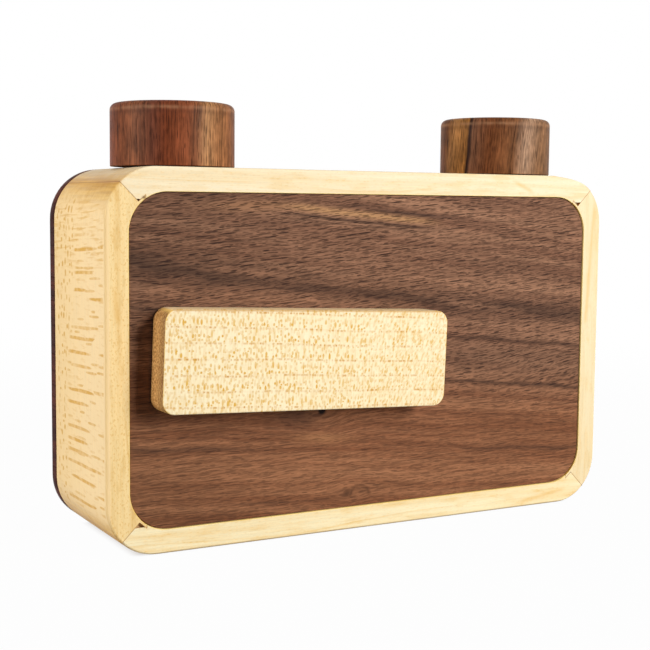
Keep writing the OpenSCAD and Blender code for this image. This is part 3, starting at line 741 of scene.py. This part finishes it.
# %% Make the small finishes
def turned_metal_finish(name, bright, dull, roughness, upright):
    f = Finish(name, roughness, 1)
    x, y, z = f.place()
    rings = f.noise(x * 0.2, y * 0.2, z * 7, 2) if upright else f.noise(x * 2.5, y * 7, z * 2.5, 2)
    tarnish = f.patches(x * 0.35, y * 0.35, z * 0.35, 3, 0.4, 0.75)
    f.colour = f.mix(tarnish * 0.6, bright, dull)
    return f.finish(rings * 0.16 + roughness + tarnish * 0.1, rings, 0.02, 0.4)


def felt_finish():
    f = Finish("black_felt", 0.95, 0, 0.1)
    f.shader.inputs["Sheen Weight"].default_value = 0.25
    x, y, z = f.place()
    mat = f.noise(x * 3, y * 3, z * 3, 4)
    hair = f.patches(x * 1.2, y * 6, z * 6, 2, 0.55, 0.7)
    f.colour = f.mix(f.least(mat * 0.7 + hair * 0.4, 1), (20, 20, 22), (66, 65, 68))
    return f.finish(mat * 0.1 + 0.88, mat + hair, 0.12, 0.8)


def moulded_plastic_finish():
    f = Finish("moulded_black_plastic", specular=0.4)
    x, y, z = f.place()
    grain = f.noise(x * 5, y * 5, z * 5, 2)
    rub = f.patches(x * 0.5, y * 0.5, z * 0.2, 3, 0.5, 0.75)
    f.colour = f.mix(rub * 0.5 + grain * 0.2, (20, 20, 22), (52, 51, 53))
    return f.finish(grain * 0.15 + 0.36 + rub * 0.1, grain, 0.02, 0.4)


def red_window_finish():
    f = Finish("red_window", specular=0.15)
    x, y, z = f.place()
    depth = f.noise(x * 0.3, y * 0.3, z * 0.3, 2)
    scuff = f.patches(x * 3, y * 0.5, z * 0.6, 3, 0.6, 0.75)
    f.colour = f.mix(depth, (150, 12, 14), (214, 34, 30))
    return f.finish(scuff * 0.2 + 0.1, scuff, 0.01, 0.3)


small_finishes = {
    "brass": turned_metal_finish("turned_brass", (226, 190, 112), (168, 128, 66), 0.24, True),
    "steel": turned_metal_finish("turned_steel", (200, 202, 204), (150, 152, 156), 0.26, True),
    "nickel": turned_metal_finish("plated_nickel", (214, 212, 206), (172, 170, 166), 0.16, False),
    "felt": felt_finish(),
    "black_plastic": moulded_plastic_finish(),
    "red_plastic": red_window_finish(),
    "black_wood": black_wood,
}
print("small finishes:", ", ".join(small_finishes))

# %% [markdown]
# ## Easing the edges of sawn pieces
# No edge on a hand finished camera is dead sharp. A copy of the solid's mesh is merged into clean faces,
# its sharp edges get a weight, and a Bevel modifier rounds each by its weight. The result becomes a plain
# mesh. Its surface also stores how much end grain it shows, which the finishes read as an attribute.

# %% Define the easing helper
def settle(piece, *nodes):
    """Ties a finished piece to the body of the solids that it stands for, and hides those solids."""
    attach(piece, body_of_node[nodes[0]])
    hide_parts(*nodes)


def merged_copy(node):
    work = bmesh.new()
    work.from_mesh(frame["nodes"][node].data)
    bmesh.ops.remove_doubles(work, verts=work.verts, dist=0.002 * MM)
    flat = math.radians(0.4)
    bmesh.ops.dissolve_limit(work, angle_limit=flat, verts=work.verts[:], edges=work.edges[:])
    return work


def plain_mesh(piece, name):
    """The object's shape with its modifiers worked in, as a mesh of its own."""
    bpy.context.view_layer.update()
    seen = piece.evaluated_get(bpy.context.evaluated_depsgraph_get())
    mesh = bpy.data.meshes.new_from_object(seen)
    mesh.name = name
    piece.modifiers.clear()
    piece.data = mesh
    return mesh


def store_end_grain(mesh, grain):
    """Each face corner's share of end grain, from how squarely the surface meets the grain there."""
    way = Vector(grain).normalized()
    shares = [abs(normal.vector.dot(way)) ** 2 for normal in mesh.corner_normals]
    layer = mesh.attributes.new("end_grain", "FLOAT", "CORNER")
    layer.data.foreach_set("value", shares)


crease = math.radians(32)


def eased(node, finish, width, weigh=None, grain=(1, 0, 0), segments=3, cut_x=None, press=None):
    """A piece with the solid's shape and eased edges. `weigh` gives an edge's share of the width.
    `press` moves the finished points, after a cut across the piece at `cut_x` has made more of them."""
    work = merged_copy(node)
    if cut_x:
        everything = work.verts[:] + work.edges[:] + work.faces[:]
        bmesh.ops.bisect_plane(work, geom=everything, plane_co=(cut_x * MM, 0, 0), plane_no=(1, 0, 0))
    weights = work.edges.layers.float.new("bevel_weight_edge")
    for edge in work.edges:
        if len(edge.link_faces) == 2 and edge.calc_face_angle(0) > crease:
            middle = (edge.verts[0].co + edge.verts[1].co) / 2
            edge[weights] = weigh(middle) if weigh else 1
    mesh = bpy.data.meshes.new(node + "_eased")
    work.to_mesh(mesh)
    work.free()
    piece = add_object(node + "_piece", mesh)
    bevel = piece.modifiers.new("eased_edges", "BEVEL")
    bevel.limit_method = "WEIGHT"
    bevel.width = width * MM
    bevel.segments = segments
    bevel.use_clamp_overlap = True
    bevel.harden_normals = True
    mesh = plain_mesh(piece, node + "_eased")
    if press:
        for vertex in mesh.vertices:
            vertex.co.z -= press(vertex.co)
    mesh.materials.clear()
    mesh.materials.append(finish)
    store_end_grain(mesh, grain)
    settle(piece, node)
    return piece


print("helpers: merged_copy, plain_mesh, eased")

# %% [markdown]
# ## The four rails
# The outer edges, front and back, are rounded by sandpaper over most of a millimetre, while the edges of
# the pocket and of the joints stay crisp. A rule on an edge's place tells them apart: it measures how far
# the edge lies from the frame's rounded outline. The photo shows that hand sanding took half a millimetre
# more off the front of the top right corner, so there the outer skin sinks a little.

# %% Make the rails
outline_radius = 12


def outline_gap(point, half_x, half_z, radius):
    """How far a point lies inside a rounded outline about the middle of the case, in metres."""
    past_x = max(abs(point.x) - half_x + radius, 0)
    past_z = max(abs(point.z - case_top / 2) - half_z + radius, 0)
    return radius - math.hypot(past_x, past_z)


def rail_weight(point):
    at_front = abs(point.y - rail_low.y) < 0.01 * MM
    at_back = abs(point.y - rail_high.y) < 0.01 * MM
    outer = outline_gap(point, case_half, case_top / 2, outline_radius * MM)
    pocket = outline_gap(point, pocket_half_x * MM, pocket_half_z * MM, pocket_radius * MM)
    if (at_front or at_back) and abs(outer) < 0.05 * MM:
        return 1
    if at_front and abs(pocket) < 0.2 * MM:
        return 0.2
    return 0.08


sanded_from, sanded_to = 53, 64.5
sanded_depth = 0.55
sanded_run = 4.5


def sanded_off(point):
    """How far a point of the top rail sinks where the corner was sanded, in metres."""
    outer = outline_gap(point, case_half, case_top / 2, outline_radius * MM)
    rise = min(max((point.x / MM - sanded_from) / sanded_run, 0), 1)
    fall = min(max((sanded_to - point.x / MM) / sanded_run, 0), 1)
    towards_front = (rail_high.y - point.y) / (rail_high.y - rail_low.y)
    return sanded_depth * MM * rise * fall * towards_front if outer < 0.8 * MM else 0


for node, finish in rail_finishes.items():
    grain = (0, 0, 1) if node in ("left_rail", "right_rail") else (1, 0, 0)
    sanding = {"cut_x": sanded_from, "press": sanded_off} if node == "top_rail" else {}
    rail = eased(node, finish, 0.6, rail_weight, grain, **sanding)
    print(node, "faces:", len(rail.data.polygons))

# %% [markdown]
# ## The front and the shutter bar
# The front's edges stay nearly sharp, because it is let into the frame. The bar is handled all day, so its
# arrises are rounded more, most of all on the side that faces out.

# %% Make the front and the bar
front_panel = eased("front_panel", walnut_front, 0.15)


def bar_weight(point):
    return 1 if abs(point.y - bar_low.y) < 0.01 * MM else 0.4


shutter_bar = eased("shutter_bar", maple_bar, 0.45, bar_weight)
print("front faces:", len(front_panel.data.polygons), "bar faces:", len(shutter_bar.data.polygons))

# %% [markdown]
# ## The rear cover and what it carries
# The cover's outer edges are rounded like the frame's. The light trap, the film's rails and the chamber's
# walls are small sawn boards, eased a little so that they catch a line of light when the cover is off.

# %% Make the cover and the inner boards
rear_cover = eased("rear_cover", walnut_cover, 0.5)
window_flap = eased("window_flap", maple_flap, 0.35, grain=(0, 0, 1))
inner_boards = [
    "rear_light_trap", "left_chamber_wall", "right_chamber_wall", "upper_gate_rail", "lower_gate_rail",
]
for node in inner_boards:
    eased(node, black_wood, 0.3)
print("cover faces:", len(rear_cover.data.polygons), "inner boards:", len(inner_boards))

# %% [markdown]
# ## Turned pieces
# A knob follows one rule: a profile turned round an axis. In Geometry Nodes a four cornered profile gets
# its own rounding at each corner, and Curve to Mesh sweeps it round a circle that is thinner than a hair,
# so that the profile's own distance from the axis is the radius. The seam and the poles close when points
# that meet are merged.

# %% Build the turning tree
class Recipe(Tree):
    """A Geometry Nodes tree with named inputs."""

    def __init__(self, name, inputs):
        super().__init__(bpy.data.node_groups.new(name, "GeometryNodeTree"))
        face = self.nodes.interface
        face.new_socket("Geometry", in_out="INPUT", socket_type="NodeSocketGeometry")
        for label, kind in inputs:
            face.new_socket(label, in_out="INPUT", socket_type=kind)
        face.new_socket("Geometry", in_out="OUTPUT", socket_type="NodeSocketGeometry")
        self.start = self.nodes.nodes.new("NodeGroupInput")
        self.end = self.nodes.nodes.new("NodeGroupOutput")

    def value(self, label):
        return Link(self, self.start.outputs[label])

    def close(self, geometry, finish):
        real = self.node("GeometryNodeRealizeInstances", {"Geometry": geometry})
        smooth = self.node("GeometryNodeSetShadeSmooth", {"Geometry": real, "Shade Smooth": True})
        done = self.node("GeometryNodeSetMaterial", {"Geometry": smooth, "Material": finish})
        self.nodes.links.new(done.socket, self.end.inputs["Geometry"])

    def shape(self, piece, values, mesh_name):
        """Runs the tree on a piece with these inputs. The result becomes the piece's own plain mesh."""
        modifier = piece.modifiers.new("recipe", "NODES")
        modifier.node_group = self.nodes
        for item in self.nodes.interface.items_tree:
            if item.in_out == "INPUT" and item.name in values:
                modifier[item.identifier] = values[item.name]
        return plain_mesh(piece, mesh_name)


FLOAT = "NodeSocketFloat"
turning_inputs = [(label, FLOAT) for label in ("Bore", "Radius", "Foot", "Top", "Foot round", "Top round")]
turning_inputs.append(("Turns", "NodeSocketInt"))
hair_radius = 0.000001
merge_reach = 0.000004


def turning_recipe(name, finish):
    r = Recipe(name, turning_inputs)
    bore = r.value("Bore")
    radius = r.value("Radius")
    corners = {}
    outline = [(bore, "Foot"), (radius, "Foot"), (radius, "Top"), (bore, "Top")]
    for place, (out, level) in enumerate(outline, 1):
        point = r.node("ShaderNodeCombineXYZ", {"X": out, "Y": r.value(level) * -1, "Z": 0})
        corners[f"Point {place}"] = point
    profile = r.node("GeometryNodeCurvePrimitiveQuadrilateral", corners, mode="POINTS")
    index = r.node("GeometryNodeInputIndex")
    at_foot = r.math("COMPARE", index, 1, 0.1)
    at_top = r.math("COMPARE", index, 2, 0.1)
    rounding = at_foot * r.value("Foot round") + at_top * r.value("Top round")
    fillet = {"Curve": profile, "Count": 10, "Radius": rounding, "Limit Radius": True}
    rounded = r.node("GeometryNodeFilletCurve", fillet, mode="POLY")
    circle = {"Resolution": r.value("Turns"), "Radius": hair_radius}
    hair = r.node("GeometryNodeCurvePrimitiveCircle", circle, mode="RADIUS")
    swept = r.node("GeometryNodeCurveToMesh", {"Curve": hair, "Profile Curve": rounded})
    closed = r.node("GeometryNodeMergeByDistance", {"Geometry": swept, "Distance": merge_reach})
    r.close(closed, finish)
    return r


print("turning inputs:", [label for label, _ in turning_inputs])

# %% [markdown]
# ## Knobs and washers
# The same tree turns the knobs and the felt washers, whose profile stands off the axis by the bore.

# %% Turn the knobs and the washers
def turned(node, finish, sizes, grain=(0, 0, 1)):
    """A turned piece in the place of a solid; `sizes` holds bore, roundings and the number of facets."""
    low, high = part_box(node)
    piece = add_object(node + "_piece", bpy.data.meshes.new(node + "_start"))
    values = {"Radius": (high.x - low.x) / 2, "Foot": low.z, "Top": high.z, **sizes}
    mesh = turning_recipe(node + "_turning", finish).shape(piece, values, node + "_turned")
    middle = (low + high) / 2
    mesh.transform(Matrix.Translation((middle.x, middle.y, 0)))
    work = bmesh.new()
    work.from_mesh(mesh)
    bmesh.ops.dissolve_degenerate(work, dist=0.001 * MM, edges=work.edges[:])
    bmesh.ops.recalc_face_normals(work, faces=work.faces[:])
    work.to_mesh(mesh)
    work.free()
    mesh.set_sharp_from_angle(angle=math.radians(40))
    store_end_grain(mesh, grain)
    settle(piece, node)
    return piece


knob_sizes = {"Bore": 0.0, "Foot round": 0.2 * MM, "Top round": 1.6 * MM, "Turns": 128}
turned_pieces = [
    turned("takeup_knob", takeup_walnut, knob_sizes),
    turned("supply_knob", supply_walnut, knob_sizes),
]
washer_sizes = {"Bore": 3.1 * MM, "Foot round": 0.08 * MM, "Top round": 0.08 * MM, "Turns": 96}
for node in ("takeup_washer", "supply_washer"):
    turned_pieces.append(turned(node, small_finishes["felt"], washer_sizes))
for piece in turned_pieces:
    size = piece.dimensions / MM
    print(piece.name, "size in mm:", [round(v, 2) for v in size], "faces:", len(piece.data.polygons))

# %% [markdown]
# ## Magnets
# The magnets are flat plated discs, set flush in pairs. They all have one shape, so one disc is made and
# placed on points. The points are the middles of the solid's separate discs, and the disc's outer rim has a
# small chamfer, as plated magnets do.

# %% Build the magnet tree and place the magnets
def loose_parts(node):
    """The separate lumps of a solid, as lists of points."""
    work = merged_copy(node)
    left = set(work.verts)
    lumps = []
    while left:
        lump = [left.pop()]
        for vert in lump:
            joined = {edge.other_vert(vert) for edge in vert.link_edges} & left
            left -= joined
            lump.extend(joined)
        lumps.append([vert.co.copy() for vert in lump])
    work.free()
    return lumps


def magnet_recipe(name, finish):
    r = Recipe(name, [("Radius", FLOAT), ("Thickness", FLOAT), ("Chamfer", FLOAT)])
    radius = r.value("Radius")
    chamfer = r.value("Chamfer")
    tall = r.value("Thickness") - chamfer * 2
    drum = {"Vertices": 40, "Radius": radius, "Depth": tall}
    faces = ("Mesh", "Top", "Bottom")
    disc, top, bottom = r.node("GeometryNodeMeshCylinder", drum, faces, fill_type="NGON")
    rims = r.node("FunctionNodeBooleanMath", {0: top, 1: bottom}, operation="OR")
    lift = {"Mesh": disc, "Selection": rims, "Offset Scale": chamfer, "Individual": True}
    capped, caps = r.node("GeometryNodeExtrudeMesh", lift, ("Mesh", "Top"), mode="FACES")
    inset = {"Geometry": capped, "Selection": caps, "Scale": (radius - chamfer) / radius}
    drawn_in = r.node("GeometryNodeScaleElements", inset, domain="FACE")
    upright = {"Geometry": drawn_in, "Rotation": (math.radians(90), 0, 0)}
    stood = r.node("GeometryNodeTransform", upright)
    copies = {"Points": r.value("Geometry"), "Instance": stood}
    r.close(r.node("GeometryNodeInstanceOnPoints", copies), finish)
    return r


def box_of(points):
    """The least and the greatest corner of some points."""
    axes = list(zip(*points))
    return Vector([min(axis) for axis in axes]), Vector([max(axis) for axis in axes])


def magnets(node):
    boxes = [box_of(lump) for lump in loose_parts(node)]
    spots = bpy.data.meshes.new(node + "_spots")
    spots.from_pydata([(low + high) / 2 for low, high in boxes], [], [])
    piece = add_object(node + "_piece", spots)
    low, high = boxes[0]
    values = {"Radius": (high.z - low.z) / 2, "Thickness": high.y - low.y, "Chamfer": 0.2 * MM}
    recipe = magnet_recipe(node + "_set", small_finishes["nickel"])
    mesh = recipe.shape(piece, values, node + "_discs")
    mesh.set_sharp_from_angle(angle=math.radians(30))
    settle(piece, node)
    return len(boxes), values["Radius"] / MM


for node in ("frame_magnets", "panel_magnets", "shutter_magnets", "cover_magnets"):
    count, radius = magnets(node)
    print(node, "discs:", count, "radius mm:", round(radius, 2))

# %% [markdown]
# ## Small eased pieces and the solids that stay
# The felt pad, the spool, the pins and the metal fittings keep their solids' shapes. Those with edges that
# catch light are eased; the rest only get a finish.

# %% Dress the remaining pieces
eased_widths = {"takeup_spool": 0.2, "counter_window": 0.2, "window_screw": 0.15, "shutter_pad": 0.15}
for node, width in eased_widths.items():
    eased(node, small_finishes[slot_of_node[node]], width)
dressed = []
for node, solid in frame["nodes"].items():
    if solid.hide_render:
        continue
    finish = small_finishes[slot_of_node[node]]
    for place in solid.material_slots:
        place.material = finish
    dressed.append(node)
print("solids that stay:", ", ".join(dressed))

# %% [markdown]
# ## Floor and world
# The picture was taken on white. The floor shows the lens mostly white, yet keeps a soft shadow, and under
# the case its colour is tinted warm, a painted reflection of the wood. The world is white to the lens and
# in what gloss mirrors, and dim otherwise, so that the lamps shape the wood.

# %% Make the floor and the white surroundings
floor_mesh = bpy.data.meshes.new("studio_floor")
floor_reach = 3
floor_level = -0.0004
floor_corners = [(-1, -1), (1, -1), (1, 1), (-1, 1)]
floor_points = [(x * floor_reach, y * floor_reach, floor_level) for x, y in floor_corners]
floor_mesh.from_pydata(floor_points, [], [(0, 1, 2, 3)])
floor = add_object("studio_floor", floor_mesh)


def seen_directly(tree):
    """1 for rays that carry the background straight to the eye, also through gloss or glass."""
    camera_ray, glossy, through = tree.node(
        "ShaderNodeLightPath", out=("Is Camera Ray", "Is Glossy Ray", "Is Transmission Ray")
    )
    return tree.most(camera_ray, glossy, through)


pure_white = (1, 1, 1, 1)


def white_floor_finish():
    f = Finish("white_floor", 0.9, 0, 0.1)
    x, y, z = f.place()
    paper = f.noise(x * 0.05, y * 0.05, z, 2)
    below = f.ramp(f.size(x), half_width - 6, half_width - 10)
    below = below * f.ramp(f.size(y), back_y + 2, back_y - 1)
    f.colour = f.mix(paper, (148, 148, 148), (154, 154, 154))
    # Painted reflection: under the case the floor's colour is tinted warm, for light bounced off the wood.
    f.lay(below, (214, 178, 146))
    glow = f.node("ShaderNodeEmission", {"Color": pure_white, "Strength": 1})
    lit = Link(f, f.shader.outputs["BSDF"])
    from_middle = f.math("SQRT", x * x + y * y)
    white_share = f.ramp(from_middle, 150, 500) * 0.02 + 0.98 - below * 0.4
    white_share = seen_directly(f) * white_share
    shown = f.node("ShaderNodeMixShader", {0: white_share, 1: lit, 2: glow})
    f.nodes.links.new(shown.socket, f.nodes.nodes["Material Output"].inputs["Surface"])
    return f.finish()


floor_mesh.materials.append(white_floor_finish())

world = bpy.data.worlds.new("white_studio")
bpy.context.scene.world = world
world.use_nodes = True
surroundings = Tree(world.node_tree)
world_level = 0.03
soft = surroundings.node("ShaderNodeBackground", {"Color": pure_white, "Strength": world_level})
white = surroundings.node("ShaderNodeBackground", {"Color": pure_white, "Strength": 1})
seen = surroundings.node("ShaderNodeMixShader", {0: seen_directly(surroundings), 1: soft, 2: white})
world.node_tree.links.new(seen.socket, world.node_tree.nodes["World Output"].inputs["Surface"])
print("floor level:", floor_level, "world level:", world_level)

# %% [markdown]
# ## Lamps
# The main lamp hangs at the front right, so the bar throws its shadow to the left. A white wall at the left
# lights up the left side.

# %% Hang the lamps
def softbox(name, place, aim, width, height, watts):
    lamp = bpy.data.lights.new(name, "AREA")
    lamp.shape = "RECTANGLE"
    lamp.size = width
    lamp.size_y = height
    lamp.energy = watts
    holder = add_object(name, lamp)
    way = Vector(aim) - Vector(place)
    holder.rotation_mode = "QUATERNION"
    holder.rotation_quaternion = way.to_track_quat("-Z", "Y")
    holder.location = place
    return holder


lamps = [
    softbox("key_front_right", (0.42, -0.74, 0.33), (0, -0.02, 0.045), 0.32, 0.5, 9.1),
    softbox("white_wall_left", (-0.76, 0.03, 0.28), (-0.06, 0, 0.045), 0.4, 0.56, 5.35),
]
print("lamps:", ", ".join(lamp.name for lamp in lamps))
